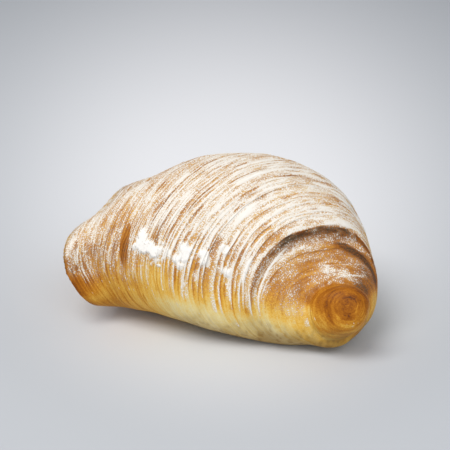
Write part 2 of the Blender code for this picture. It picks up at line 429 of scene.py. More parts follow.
def left_at(spot):
    """1 toward the lip, sooner on the flank than on top."""
    wandering = spot.share + 0.035 * space_noise(spot.points, 8, 27) + 0.10 * flank_at(spot)
    return climb(wandering, LEFT_FROM, LEFT_TO)


def worn_at(spot):
    """1 on short stretches of leaf that lost their sugar."""
    return climb(strand_noise(spot, 1.6, 27, 66), 0.42, 0.75)


def fallen_at(spot):
    """1 where the sifted sugar fell. It reaches down the flanks to an uneven line."""
    drift = 0.11 * space_noise(spot.points, 9, 21) + 0.05 * space_noise(spot.points, 3, 22)
    leaf_drift = 0.20 * line_noise(spot.turn * 9, 19)
    reached = spot.up + drift + leaf_drift + 0.20 * climb(spot.share, 0.62, 0.76)
    return climb(reached, -0.20, 0.38) * climb(np.sin(np.radians(spot.degrees)), -0.36, 0.02)


def layer_at(spot, fallen, left, front):
    """How thick the sifted layer lies, before it is broken up."""
    high = climb(spot.up, 0.70, 0.95)
    cover = fallen * (0.72 + 0.09 * high - 0.17 * left - 0.53 * front) * (1 - 0.7 * far_side_at(spot))
    return cover - 0.12 * fallen * low_left_at(spot)


def broken_layer_at(spot, cover, left, front):
    """The layer with its patches, strokes along the leaves, bright leaf edges and bare grooves."""
    flank, crest = flank_at(spot), climb(spot.height, 0.1, 0.5)
    below_crest = (CREST_HEIGHT - spot.height) / (CREST_HEIGHT - GROOVE_HEIGHT)
    patches = 0.13 * space_noise(spot.points, 7, 23)
    patches += 0.05 * (1 - 0.5 * front) * space_noise(spot.points, 1.7, 26)
    strands = 0.18 * strand_noise(spot, 1, 17, 28) + 0.20 * strand_noise(spot, 2.3, 31, 29)
    strands = (strands + 0.18 * strand_noise(spot, 4.1, 67, 39)) * (1 - 0.3 * front)
    worn = 0.38 * worn_at(spot) * (1 - front)
    gleam = 0.6 + 0.6 * line_noise(spot.turn * 33, 38)
    picked_out = crest * (0.05 + 0.28 * flank * gleam * (1 - left)) * (1 - front)
    hollow = 0.18 + spot.open * (0.46 + 0.24 * flank)
    holes = hollow * below_crest * (1 - 0.35 * left) * (1 - 0.8 * front)
    return cover + (patches + strands + picked_out - holes - worn) * climb(cover, 0, 0.35)


def band_dust_at(spot):
    """The little sugar on the burnt slope, more at its foot and at its near end."""
    at_foot = climb(shoulder_edge(spot.degrees) - spot.share, 0.004, 0.018)
    at_foot += 0.4 * fall(spot.degrees, 30, 60)
    dust = 0.07 + 0.23 * at_foot + 0.07 * space_noise(spot.points, 1.6, 30)
    return np.maximum(dust + 0.16 * strand_noise(spot, 3.1, 60, 49), 0)


def white_edges_at(spot, left, front):
    """Sugar along leaf edges low on the flanks: a few long runs and many short flecks."""
    crest = climb(spot.height, 0.1, 0.5)
    long_run = climb(line_noise(spot.turn * 2.6, 34), 0.52, 0.74) * within(spot.up, -0.04, 0.26, 0.06)
    fleck = climb(line_noise(spot.turn * 75, 35), 0.66, 0.90) * within(spot.up, -0.30, 0.12, 0.10)
    return crest * np.maximum(0.85 * long_run * (1 - left) * (1 - front), 0.55 * fleck)


def sugar_at(spot):
    """How much sugar lies at each point: 0 is bare, 0.8 covers and more is a heap."""
    fallen, left, front = fallen_at(spot), left_at(spot), front_at(spot)
    amount = broken_layer_at(spot, layer_at(spot, fallen, left, front), left, front)
    amount = np.maximum(amount, 0.20 * fallen * (1 - 0.5 * front))
    amount = amount * (1 - 0.84 * bare_leaf_at(spot)) * (1 - 0.7 * second_band_at(spot))
    off_knob = spot.share + 0.010 * space_noise(spot.points, 1.3, 59)
    amount = amount * climb(off_knob, KNOB_SUGAR_FROM, KNOB_SUGAR_TO)
    amount = amount * (1 - spot.band) + spot.band * band_dust_at(spot)
    on_lip = on_lip_at(spot)
    amount = amount * (1 - on_lip * fall(spot.degrees, -12, 10))
    amount += (0.02 + 0.10 * space_noise(spot.points, 5, 48)) * on_lip * fallen
    amount = np.maximum.reduce([amount, white_edges_at(spot, left, front), rings_at(spot)])
    return np.clip(amount + HEAP_SUGAR * heaps_at(spot.points), 0, MOST_SUGAR)


# How dark the crust is baked: 0 is pale straw, a half is golden and 1 is burnt.
BELLY_BAKE, FLANK_BAKE, TOP_BAKE = 0.04, 0.30, 0.58
KNOB_BAKE, MOST_KNOB_BAKE = 0.79, 0.80
BAND_BAKE, SECOND_BAND_BAKE = 0.94, 0.93
KNOB_BAKE_FROM, KNOB_BAKE_TO = 0.074, 0.120


def body_bake(spot):
    """Darker from the belly to the top, toward the lip and round the neck of the knob."""
    up, share = spot.up, spot.share
    toward_lip = climb(share, 0.42, 0.92)
    belly = BELLY_BAKE + 0.44 * toward_lip + 0.26 * fall(share, 0.125, 0.20)
    flank = FLANK_BAKE + 0.11 * toward_lip
    pale_up_to = 0.30 * fall(share, 0.36, 0.62)
    bake = belly + (flank - belly) * climb(up - pale_up_to, -0.50, -0.15)
    bake += (TOP_BAKE - flank) * climb(up + 0.20 * climb(share, 0.62, 0.76), 0.02, 0.40)
    in_front = fall(share, 0.19, 0.23) * climb(up, -0.5, 0.2)
    bake += 0.10 * in_front * (climb(up, 0.1, 0.5) - 0.5)
    bake -= 0.20 * far_side_at(spot) * climb(up, 0, 0.3) * climb(share, 0.12, 0.18)
    return bake + 0.22 * within(spot.degrees, 130, 235, 15) * fall(share, 0.17, 0.25)


def knob_bake(spot):
    """Amber rings round the tip, darkest in the middle and on top."""
    bake = KNOB_BAKE - 0.12 * climb(spot.share, 0.025, 0.075)
    bake -= 0.22 * climb(-spot.up, -0.50, 0.1)
    bake = bake + 0.07 * strand_noise(spot, 0.8, 7, 46) + 0.07 * strand_noise(spot, 2.6, 19, 47)
    return np.minimum(bake + 0.06 * space_noise(spot.points, 2.5, 58), MOST_KNOB_BAKE)


def uneven_bake(spot):
    """What makes one leaf, one stretch of it or one groove darker than the next."""
    points, on_body = spot.points, climb(spot.share, 0.195, 0.225)
    uneven = 0.05 * space_noise(points, 12, 41) + 0.04 * space_noise(points, 4, 42)
    leaves = 0.06 * strand_noise(spot, 1, 9, 43) + 0.07 * strand_noise(spot, 2.7, 23, 44)
    # Grooves darker and crests lighter: partly browner baking, partly painted shade in the grooves, most on
    # upward faces.
    groove_bake_and_shade = climb(-spot.height, 0, 0.6) * (0.05 + 0.06 * spot.open)
    grooves_bake_and_shade = (groove_bake_and_shade - 0.03 * climb(spot.height, 0.2, 0.5)) * (0.15 + 0.85 * on_body)
    grooves_bake_and_shade = grooves_bake_and_shade * (0.12 + 0.88 * climb(spot.up, -0.3, 0.1))
    return uneven + leaves + 0.12 * worn_at(spot) * on_body + grooves_bake_and_shade


def band_bake(spot):
    """Nearly black under the shoulder's edge, and browner at the foot and at both ends of the slope."""
    degrees = spot.degrees
    bake = BAND_BAKE - 0.18 * climb(shoulder_edge(degrees) - spot.share, 0.007, 0.018)
    bake += 0.06 * space_noise(spot.points, 2.5, 45)
    return bake - 0.12 * fall(degrees, 25, 60) - 0.06 * climb(degrees, 120, 145)


def bake_at(spot):
    """How dark the crust is baked, from 0 to 1."""
    off_knob = spot.share + 0.008 * space_noise(spot.points, 2, 60)
    knob = fall(off_knob, KNOB_BAKE_FROM, KNOB_BAKE_TO)
    bake = body_bake(spot) * (1 - knob) + knob_bake(spot) * knob
    bake += 0.08 * on_lip_at(spot) * climb(spot.up, -0.35, 0.1)
    bake = bake + uneven_bake(spot) + 0.04 * low_left_at(spot) + 0.14 * bare_leaf_at(spot)
    bake += 0.12 * climb(spot.share, 0.990, 1) * fall(spot.up, 0.2, 0.5)
    bake += (SECOND_BAND_BAKE - bake) * second_band_at(spot)
    return unit(bake * (1 - spot.band) + band_bake(spot) * spot.band)


FAT_AND_SHADE_FROM, FAT_AND_SHADE_TO = 15.0, 1.0  # heights in millimetres between which the fat and the painted shade near the floor fade in, downward


def oil_and_shade_at(spot):
    """Where the leaves near the tray are darker with fat and painted shade, from 0 to a little over 1."""
    blotch = 3 * space_noise(spot.points, 7, 40) + 1.6 * space_noise(spot.points, 2.2, 50)
    streak = 1.5 * strand_noise(spot, 1, 13, 56) + 1.2 * strand_noise(spot, 2.7, 31, 57)
    toward_lip = climb(spot.share, 0.45, 0.75)
    # Fat and painted shade near the floor: darker the lower the crust lies.
    fat_and_shade = fall(spot.points[..., 2] + blotch + streak, FAT_AND_SHADE_TO, FAT_AND_SHADE_FROM)
    crackle = climb(space_noise(spot.points * (1, 1, 0.5), 0.9, 65), 0.1, 0.6)
    return np.clip(fat_and_shade + 0.3 * crackle * climb(fat_and_shade, 0.05, 0.5), 0, 1.3) * (1 - 0.6 * toward_lip)


# ---- relief

# Heights and depths in millimetres.
LEAF_STEP = 0.48
LEAST_STEP, MOST_STEP, MOST_STEP_IN_FRONT = 0.08, 1.60, 0.45  # shares of LEAF_STEP
WAIST_DENT, WAIST_AT, WAIST_WIDTH = 1.1, 0.85, 0.07
HEAPED_FROM = 0.95  # more sugar than this hides the leaves under it
POWDER_HEIGHT, HEAP_HEIGHT, GRAIN_HEIGHT = 0.14, 0.9, 0.05


def leaf_relief(spot, sugar):
    """The leaf steps, which the sugar fills."""
    on_body = climb(spot.share, 0.19, 0.24)
    lively = 0.33 + 0.67 * climb(spot.up, -0.2, 0.3)
    uneven = 0.38 + 0.32 * spot.open + 0.18 * line_noise(spot.turn * 4, 51)
    uneven += 0.16 * line_noise(spot.turn * 90, 52)
    most = MOST_STEP_IN_FRONT + (MOST_STEP - MOST_STEP_IN_FRONT) * on_body
    step = LEAF_STEP * lively * (0.28 + 0.72 * on_body) * np.clip(uneven, LEAST_STEP, most)
    step = step * climb(spot.turn, 0.3, 6)
    step = step * (1 - 0.8 * spot.band) * (1 - 0.7 * bare_leaf_at(spot))
    filled = np.clip(0.50 * sugar + 2.2 * (sugar - HEAPED_FROM), 0.45 * sugar, 1)
    return step * (spot.height * (1 - filled) + 0.25 * filled)


def shoulder_relief(share, degrees):
    """The step of the shoulder."""
    edge = shoulder_edge(degrees)
    behind = fall(share - edge, 0, SHOULDER_RUN)
    front = climb(share, edge - BAND_WIDTH, edge - 0.2 * BAND_WIDTH)
    near_end, far_end = climb(degrees, -40, 20), fall(degrees, 110, 190)
    return SHOULDER_STEP * front * behind * near_end * far_end


def relief_at(spot, sugar):
    """How far the crust stands off the smooth body."""
    share, degrees, points = spot.share, spot.degrees, spot.points
    lumps = 0.42 * space_noise(points, 13, 53) + 0.20 * space_noise(points, 5, 54)
    lumps -= WAIST_DENT * bump(share, WAIST_AT, WAIST_WIDTH) * within(degrees, 75, 150, 25)
    lumps = lumps * climb(spot.turn, 0.3, 6)
    off_tray = climb(spot.up, -0.95, -0.55)
    crease = CREASE_DEPTH * bump(share, CREASE_AT, CREASE_WIDTH)
    powder = POWDER_HEIGHT * unit(sugar - 0.45) + HEAP_HEIGHT * np.clip(sugar - 1, 0, 0.6)
    grains = GRAIN_HEIGHT * unit(sugar) * space_noise(points, 0.7, 55)
    body = leaf_relief(spot, sugar) + lumps + shoulder_relief(share, degrees)
    return body * off_tray - crease + powder + grains


def section_degrees(angle):
    """An angle round the section in degrees, from -90 below to 270."""
    return (np.degrees(angle) + 90) % 360 - 90


def crust_points(row, column):
    """Points of the crust, and the looks at each one."""
    turn, place, share, angle, height, openness = leaf_points(row, column)
    degrees = section_degrees(angle)
    points, normals = smooth_body(share, angle), body_normals(share, angle)
    band = band_at(share, degrees, points)
    spot = Spot(turn, place, height, share, degrees, points, normals[..., 2], band, openness)
    sugar = sugar_at(spot)
    points = points + normals * relief_at(spot, sugar)[..., None]
    points[..., 2] = np.maximum(points[..., 2], 0)
    return points, {"sugar": sugar, "bake": bake_at(spot), "oil_and_shade": oil_and_shade_at(spot), "turn": turn + place}


# ---- meshes

def add_object(name, data):
    """A new object in the scene."""
    thing = bpy.data.objects.new(name, data)
    bpy.context.scene.collection.objects.link(thing)
    return thing


def mesh_piece(name, points, faces, looks, material, corner_places=()):
    """A smooth-shaded piece of points in millimetres and arrays of faces. looks become its attributes.

    corner_places are the texture places of the faces' corners, one array for each array of faces.
    """
    mesh = bpy.data.meshes.new(name)
    mesh.vertices.add(len(points))
    mesh.vertices.foreach_set("co", (points * MM).astype(np.float32).ravel())
    sizes = np.concatenate([np.full(len(some), some.shape[1]) for some in faces])
    corners = np.concatenate([some.ravel() for some in faces])
    mesh.loops.add(len(corners))
    mesh.loops.foreach_set("vertex_index", corners.astype(np.int32))
    mesh.polygons.add(len(sizes))
    mesh.polygons.foreach_set("loop_start", (np.cumsum(sizes) - sizes).astype(np.int32))
    mesh.update(calc_edges=True)
    if corner_places:
        places = np.concatenate([some.reshape(-1, 2) for some in corner_places])
        mesh.uv_layers.new(name="OFBake").data.foreach_set("uv", places.astype(np.float32).ravel())
    for look, values in looks.items():
        attribute = mesh.attributes.new(look, "FLOAT", "POINT")
        attribute.data.foreach_set("value", values.astype(np.float32).ravel())
    mesh.shade_smooth()
    mesh.materials.append(material)
    piece = add_object(name, mesh)
    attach(piece, "root")
    return piece


# A piece is a strip of leaves. Its texture holds the strip cut across into bands, one above another.
MAP_BANDS = 3
MAP_GAP = 2  # rows left free between two bands
BAND_COLUMNS = math.ceil(SEGMENTS / MAP_BANDS)


def texture_places(columns, rows, low, high):
    """Texture places of faces' corners, from their columns and rows in a strip from row low to row high."""
    band = columns.min(axis=-1, keepdims=True) // BAND_COLUMNS
    across = (columns - band * BAND_COLUMNS + 0.5) / (BAND_COLUMNS + 2)
    pitch = high - low + MAP_GAP
    return beside(across, (band * pitch + rows - low) / (MAP_BANDS * pitch))


def wound_faces():
    """The row of each quad over the wound rows, the quads, and their corners' columns and rows.

    The last column meets column 0 of the row ROW_COUNT further on, as the leaf is one spiral.
    """
    row, column = np.meshgrid(np.arange(LAST_ROW), np.arange(SEGMENTS), indexing="ij")
    wraps = column == SEGMENTS - 1
    right_row, right_column = row + ROW_COUNT * wraps, (column + 1) % SEGMENTS
    right, above_right = point_index(right_row, right_column), point_index(right_row + 1, right_column)
    quads = beside(point_index(row, column), right, above_right, point_index(row + 1, column))
    return row, quads, column[..., None] + np.array((0, 1, 1, 0)), row[..., None] + np.array((0, 0, 1, 1))


def point_index(row, column):
    """Index of a point of the wound rows. The rows past the last one have only their column 0."""
    past_last = (LAST_ROW + 1) * SEGMENTS + row - LAST_ROW - 1
    return np.where(row <= LAST_ROW, row * SEGMENTS + column, past_last)


def knob_faces():
    """Triangles that fill the first turn, in the knob's middle, with their corners' columns and rows."""
    columns = np.arange(1, SEGMENTS - 1)
    fan = beside(0, columns + 1, columns)
    fan_columns = beside(columns + 0.5, columns + 1, columns)
    fan_rows = beside(-1, 0, 0 * columns)
    rows = np.arange(ROW_COUNT)
    seam = beside(SEGMENTS - 1, rows * SEGMENTS, (rows + 1) * SEGMENTS)
    seam_columns = beside(SEGMENTS - 1, SEGMENTS, 0 * rows + SEGMENTS)
    seam_rows = beside(0, rows - ROW_COUNT, rows + 1 - ROW_COUNT)
    pairs = ((fan, seam), (fan_columns, seam_columns), (fan_rows, seam_rows))
    return [np.concatenate(pair) for pair in pairs]


def wound_points():
    """All points of the wound rows, and one column more where the last turn ends."""
    row, column = np.meshgrid(np.arange(LAST_ROW + 1), np.arange(SEGMENTS), indexing="ij")
    last = np.arange(LAST_ROW + 1, LAST_ROW + ROW_COUNT + 1)
    rows = np.concatenate([row.ravel(), last])
    columns = np.concatenate([column.ravel(), 0 * last])
    return crust_points(rows, columns)


# The lip, from the last leaf in to the pressed seam: its width and height, as shares of the last section's,
# and how far it stands out, in millimetres.
LIP_CURVE = (
    (1.000, 1.00, 0.0), (0.990, 0.96, 1.2), (0.965, 0.86, 2.8), (0.935, 0.66, 4.3),
    (0.910, 0.38, 4.2), (0.890, 0.14, 1.8), (0.885, 0.03, -1.2),
)
LIP_ROWS = 42
LIP_LEAVES = 7
LIP_RIM_BAKE, LIP_BAKE = 0.68, 0.46


def lip_loop():
    """Indices and angles of the loop of points that ends the wound rows."""
    columns = np.arange(SEGMENTS)
    ring = point_index(0 * columns + LAST_ROW, columns)
    jog_rows = np.arange(LAST_ROW + ROW_COUNT, LAST_ROW, -1)
    jog = point_index(jog_rows, 0 * jog_rows)
    jog_columns = SEGMENTS - 1 + np.arange(1, ROW_COUNT + 1) / (ROW_COUNT + 1)
    share_round = np.concatenate([columns, jog_columns]) / SEGMENTS
    return np.concatenate([ring, jog]), START_ANGLE + ROUND * share_round


def lip_points(angles):
    """Rings of points over the lip, with their looks. depth runs from 0 at the rim to 1 in the seam."""
    depth, angle = np.broadcast_arrays(np.linspace(0, 1, LIP_ROWS + 1)[1:, None], angles[None, :])
    stations = np.linspace(0, 1, len(LIP_CURVE))
    wide, tall, out = (np.interp(depth, stations, sizes) for sizes in zip(*LIP_CURVE))
    leaf = depth * LIP_LEAVES + 0.35 * line_noise(angle * 3, 61)
    tooth = leaf % 1
    ragged = 0.5 * line_noise(angle * 25 + np.floor(leaf) * 40, 62)
    fade = fall(depth, 0.8, 1) * climb(depth, 0, 0.08)
    layers = (0.75 * (0.5 - tooth) + 0.25 * ragged) * fade
    bulge = 1 - 0.8 * np.cos(angle) ** 2
    points = smooth_body(np.array(1), angle, wide, tall, out * bulge + layers)
    on_top = climb(np.sin(angle), 0.15, 0.9) * fall(depth, 0.15, 0.5)
    sugar = on_top * (0.50 + 0.3 * space_noise(points, 3, 63))
    rim = LIP_RIM_BAKE - 0.18 * climb(np.sin(angle), 0.1, 0.6)
    bake = rim + (LIP_BAKE - rim) * climb(depth, 0.10, 0.45) + 0.10 * space_noise(points, 4, 64)
    bake = bake + 0.20 * (tooth - 0.5) + 0.14 * climb(depth, 0.90, 0.99)
    looks = {"sugar": unit(sugar), "bake": unit(bake)}
    return points, looks | {"oil_and_shade": np.zeros_like(leaf), "turn": TURNS + leaf}


def lip_faces(loop, first):
    """Quads over the lip's rings, which start at index first, and a fan across the seam.

    Both come with their corners' columns and rows, which go on from the wound rows.
    """
    count = len(loop)
    rings = np.concatenate([loop[None, :], first + np.arange(LIP_ROWS * count).reshape(LIP_ROWS, count)])
    right = np.roll(rings, -1, axis=1)
    quads = beside(rings[:-1], right[:-1], right[1:], rings[1:]).reshape(-1, 4)
    centre = first + LIP_ROWS * count
    fan = beside(rings[-1], right[-1], centre)
    ring, step = np.meshgrid(LAST_ROW + np.arange(LIP_ROWS), np.arange(count), indexing="ij")
    column, width = step.reshape(-1, 1) * SEGMENTS / count, SEGMENTS / count
    quad_columns = column + width * np.array((0, 1, 1, 0))
    quad_rows = ring.reshape(-1, 1) + np.array((0, 0, 1, 1))
    fan_columns = column[:count] + width * np.array((0, 1, 0.5))
    fan_rows = LAST_ROW + LIP_ROWS + 0 * column[:count] + np.array((0, 0, 1))
    return (quads, quad_columns, quad_rows), (fan, fan_columns, fan_rows)


def compact(points, looks, face_arrays):
    """Only the points that some faces use, with the faces renumbered."""
    used = np.unique(np.concatenate([faces.ravel() for faces in face_arrays]))
    numbers = np.zeros(len(points), dtype=int)
    numbers[used] = np.arange(len(used))
    looks = {look: values[used] for look, values in looks.items()}
    return points[used], looks, [numbers[faces] for faces in face_arrays]


PIECE_COUNT = 5


def build_crust(points, looks, loop, lip, lip_looks, shift):
    """The whole crust, as pieces that meet at grooves."""
    material = crust_material()
    centre = lip[-1].mean(axis=0)
    first = len(points)
    points = np.concatenate([points, lip.reshape(-1, 3), centre[None, :]]) + shift
    looks = {
        look: np.concatenate([values, lip_looks[look].ravel(), lip_looks[look][-1:, 0]])
        for look, values in looks.items()
    }
    row, *wound = wound_faces()
    for number in range(PIECE_COUNT):
        low = (TURNS - 1) * number // PIECE_COUNT * ROW_COUNT
        high = (TURNS - 1) * (number + 1) // PIECE_COUNT * ROW_COUNT
        here = (row >= low) & (row < high)
        parts = [[array[here] for array in wound]]
        if number == 0:
            parts.append(knob_faces())
            low = -ROW_COUNT
        if number == PIECE_COUNT - 1:
            parts.extend(lip_faces(loop, first))
            high = LAST_ROW + LIP_ROWS + 1
        places = [texture_places(columns, rows, low, high) for _, columns, rows in parts]
        some, some_looks, faces = compact(points, looks, [part[0] for part in parts])
        piece = mesh_piece(f"leaves_{number + 1}", some, faces, some_looks, material, places)
        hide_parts("pastry")


GRAIN_COUNT = 1400
GRAIN_SMALLEST, GRAIN_LARGEST = 0.08, 0.24  # half widths in millimetres
GRAIN_SPREAD, GRAIN_ROUGHNESS = 0.3, 0.05
# A grain is an uneven octahedron: its corners, and its upper and lower faces.
GRAIN_CORNERS = np.array(((1, 0, 0), (-1, 0, 0), (0, 1, 0), (0, -1, 0), (0, 0, 1), (0, 0, -1)))
GRAIN_UPPER = ((0, 2, 4), (2, 1, 4), (1, 3, 4), (3, 0, 4))
GRAIN_LOWER = ((2, 0, 5), (1, 2, 5), (3, 1, 5), (0, 3, 5))


def build_grains(points, sugar, shift):
    """Loose lumps of icing sugar, most of them round the heaps."""
    chance = np.random.default_rng(71)
    near = np.minimum(heaps_at(points), 1)
    weight = 0.02 * climb(sugar, 0.3, 0.7) + near * (1 - 0.8 * near)
    chosen = chance.choice(len(points), GRAIN_COUNT, p=weight / weight.sum())
    size = GRAIN_SMALLEST + (GRAIN_LARGEST - GRAIN_SMALLEST) * chance.random((GRAIN_COUNT, 1, 1)) ** 2.5
    size = size * chance.uniform(0.7, 1.3, (GRAIN_COUNT, 1, 3))
    centres = points[chosen] + GRAIN_SPREAD * chance.uniform(-1, 1, (GRAIN_COUNT, 3)) + shift
    uneven = GRAIN_ROUGHNESS * chance.uniform(-1, 1, (GRAIN_COUNT, len(GRAIN_CORNERS), 3))
    corners = centres[:, None, :] + size * GRAIN_CORNERS + uneven
    corners[..., 2] = np.maximum(corners[..., 2], 0)
    first = len(GRAIN_CORNERS) * np.arange(GRAIN_COUNT)[:, None, None]
    faces = (first + np.array(GRAIN_UPPER + GRAIN_LOWER)).reshape(-1, 3)
    corners = corners.reshape(-1, 3)
    grains = mesh_piece("sugar_grains", corners, [faces], {}, grain_material())
    grains.data.shade_flat()


# ---- materials

def linear(colour):
    """A colour written as six hexadecimal digits, as linear light by the sRGB curve."""
    parts = [int(colour[at:at + 2], 16) / 255 for at in (0, 2, 4)]
    return [part / 12.92 if part <= 0.04045 else ((part + 0.055) / 1.055) ** 2.4 for part in parts] + [1]


class Nodes:
    """The shader nodes of a new material."""

    def __init__(self, name):
        self.material = bpy.data.materials.new(name)
        self.material.use_nodes = True
        self.tree = self.material.node_tree
        self.shader = self.tree.nodes["Principled BSDF"]

    def feed(self, socket, value):
        if isinstance(value, bpy.types.NodeSocket):
            self.tree.links.new(value, socket)
        else:
            socket.default_value = value

    def feed_all(self, node, inputs):
        for name, value in inputs.items():
            self.feed(node.inputs[name.replace("_", " ")], value)
        return node

    def add(self, kind, settings=(), **inputs):
        node = self.tree.nodes.new(kind)
        for name, value in settings:
            setattr(node, name, value)
        return self.feed_all(node, inputs)

    def surface(self, **inputs):
        """The material, with these inputs of its shader."""
        self.feed_all(self.shader, inputs)
        return self.material

    def feed_two(self, node, first, second, at=0):
        """Feeds two neighbouring sockets of the node."""
        self.feed(node.inputs[at], first)
        self.feed(node.inputs[at + 1], second)
        return node

    def math(self, operation, first, second=0, clamp=False):
        node = self.add("ShaderNodeMath", [("operation", operation), ("use_clamp", clamp)])
        return self.feed_two(node, first, second).outputs[0]

    def plus(self, first, second):
        return self.math("ADD", first, second)

    def times(self, first, second, clamp=False):
        return self.math("MULTIPLY", first, second, clamp)

    def above(self, value, start, gain):
        """How far a value is above the start, times gain, kept from 0 to 1."""
        return self.times(self.math("SUBTRACT", value, start), gain, clamp=True)

    def vector_math(self, operation, first, second=(0, 0, 0)):
        return self.feed_two(self.add("ShaderNodeVectorMath", [("operation", operation)]), first, second)

    def mix(self, factor, first, second):
        """A mix of two colours: sockets 6 and 7, and output 2."""
        node = self.add("ShaderNodeMix", [("data_type", "RGBA")], Factor=factor)
        return self.feed_two(node, first, second, at=6).outputs[2]

    def look(self, name):
        return self.add("ShaderNodeAttribute", [("attribute_name", name)]).outputs["Fac"]

    def noise(self, vector, scale, detail, roughness):
        inputs = {"Vector": vector, "Scale": scale, "Detail": detail, "Roughness": roughness}
        return self.add("ShaderNodeTexNoise", **inputs).outputs[0]

    def about_zero(self, noise, amount):
        """Noise from 0 to 1 moved to lie about 0, times amount."""
        return self.times(self.math("SUBTRACT", noise, 0.5), amount)

    def strokes(self, place, to_a_turn, scale):
        """Noise drawn out along the leaves, with to_a_turn cells across a leaf."""
        turn = self.times(self.look("turn"), to_a_turn / scale)
        inputs = {"Vector": place, "W": turn, "Scale": scale, "Detail": 2}
        return self.add("ShaderNodeTexNoise", [("noise_dimensions", "4D")], **inputs).outputs[0]

    def ramp(self, factor, stops):
        node = self.add("ShaderNodeValToRGB", Fac=factor)
        elements = node.color_ramp.elements
        while len(elements) < len(stops):
            elements.new(0.5)
        for element, (place, colour) in zip(elements, stops):
            element.position = place
            element.color = linear(colour)
        return node.outputs["Color"]


BAKE_COLOURS = (
    (0.00, "e6d7a2"), (0.14, "e5cd86"), (0.32, "e1b24c"), (0.50, "c68728"), (0.64, "aa6818"),
    (0.80, "8e500e"), (0.87, "744018"), (0.94, "52341e"), (1.00, "3c2818"),
)
SUGAR_COLOUR = "eae5dc"
SUGAR_THIN_COLOUR = "e3dacd"
SUGAR_HEAP_COLOUR = "f4f1ec"
DUSTED_COLOUR = "c8b28a"  # of crust under a breath of sugar
OILY_SHADE_COLOUR = "8f6c34"  # of leaves soaked with fat, and of painted shade near the floor
# How far each noise shifts the bake. The finest one shifts it more where some sugar lies.
LINES_BAKE, SPECK_BAKE, WIDE_BAKE, FINE_BAKE, SUGARED_FINE_BAKE = 0.30, 0.12, 0.10, 0.28, 0.80
OILY_SHADE_SHARE, DUSTED_SHARE, COVERED_SHARE = 0.74, 0.60, 0.97
COVER_FROM, COVER_CONTRAST, HEAPED_CONTRAST = 0.26, 2.0, 2.5
THICK_FROM, THICK_CONTRAST = 0.40, 1.1
GRAINY_SUGAR, STREAKY_SUGAR = 3.7, 1.5
CRUST_ROUGHNESS, SUGAR_ROUGHNESS_GAIN = 0.46, 0.42


def crust_colour(nodes, sugar, some, fine, speck, wide, lines):
    """The crust under the sugar: baked, darker with fat and painted shade near the tray, dusted by a little
    sugar.
    """
    fine_bake = nodes.plus(nodes.times(some, SUGARED_FINE_BAKE), FINE_BAKE)
    bake = nodes.look("bake")
    for noise, amount in ((lines, LINES_BAKE), (speck, SPECK_BAKE), (wide, WIDE_BAKE), (fine, fine_bake)):
        bake = nodes.plus(bake, nodes.about_zero(noise, amount))
    crust = nodes.ramp(bake, BAKE_COLOURS)
    # Fat and painted shade near the floor darken the crust here.
    oily_shade = nodes.times(nodes.look("oil_and_shade"), OILY_SHADE_SHARE)
    crust = nodes.mix(oily_shade, crust, linear(OILY_SHADE_COLOUR))
    dusted = nodes.times(nodes.times(sugar, 1.35, clamp=True), DUSTED_SHARE)
    return nodes.mix(dusted, crust, linear(DUSTED_COLOUR))


def sugar_cover(nodes, sugar, some, fine, speck, strokes):
    """How far sugar hides the crust. A thin layer is grainy, and a thicker one is streaky."""
    grain = nodes.plus(nodes.times(fine, 0.86), nodes.times(speck, 0.14))
    thick = nodes.above(sugar, THICK_FROM, THICK_CONTRAST)
    loose = nodes.math("SUBTRACT", some, thick)
    lined = nodes.plus(nodes.times(some, 0.55), thick)
    grainy = nodes.times(nodes.about_zero(grain, GRAINY_SUGAR), loose)
    streaky = nodes.times(nodes.about_zero(strokes, STREAKY_SUGAR), lined)
    cover = nodes.plus(sugar, nodes.plus(grainy, streaky))
    return nodes.above(cover, COVER_FROM, COVER_CONTRAST)


def crust_material():
    """Crust and sugar in one, from the looks of the mesh."""
    nodes = Nodes("crust_with_sugar")
    place = nodes.add("ShaderNodeTexCoord").outputs["Object"]
    fine = nodes.noise(place, scale=2500, detail=1, roughness=0.5)
    speck = nodes.noise(place, scale=900, detail=3, roughness=0.6)
    wide = nodes.noise(place, scale=160, detail=3, roughness=0.55)
    lines = nodes.strokes(place, to_a_turn=3.1, scale=90)
    strokes = nodes.strokes(place, to_a_turn=7.3, scale=260)
    sugar = nodes.look("sugar")
    some = nodes.times(sugar, 4.2, clamp=True)
    crust = crust_colour(nodes, sugar, some, fine, speck, wide, lines)
    cover = sugar_cover(nodes, sugar, some, fine, speck, strokes)
    powder = nodes.mix(cover, linear(SUGAR_THIN_COLOUR), linear(SUGAR_COLOUR))
    heaped = nodes.above(sugar, HEAPED_FROM, HEAPED_CONTRAST)
    powder = nodes.mix(heaped, powder, linear(SUGAR_HEAP_COLOUR))
    colour = nodes.mix(nodes.times(cover, COVERED_SHARE), crust, powder)
    rough = nodes.plus(nodes.times(cover, SUGAR_ROUGHNESS_GAIN), CRUST_ROUGHNESS)
    bumps = nodes.plus(nodes.times(fine, cover), nodes.times(lines, 0.6))
    bumpy = nodes.add("ShaderNodeBump", Height=bumps, Strength=0.35, Distance=0.0003).outputs[0]
    return nodes.surface(Base_Color=colour, Roughness=rough, Specular_IOR_Level=0.12, Normal=bumpy)


def grain_material():
    """The white of a lump of icing sugar."""
    white = linear(SUGAR_HEAP_COLOUR)
    return Nodes("icing_sugar").surface(Base_Color=white, Roughness=0.9, Specular_IOR_Level=0.1)


# ---- stage, light and camera

FLOOR_PAINTED_LIGHT_COLOUR, FLOOR_PAINTED_SHADE_COLOUR = "eeeff2", "bbbfc4"
# The floor is painted with a pool of light that dims all round its lightest place, as seen from the camera:
# slopes of the lines of sight.
FLOOR_LIGHTEST_SLOPE, FLOOR_DIM_FROM, FLOOR_DIM_TO = 0.348, 0.04, 0.32
FLOOR_SIZE = 6.0
LEAST_DISTANCE = 0.1  # so that nothing is divided by 0 beside the camera


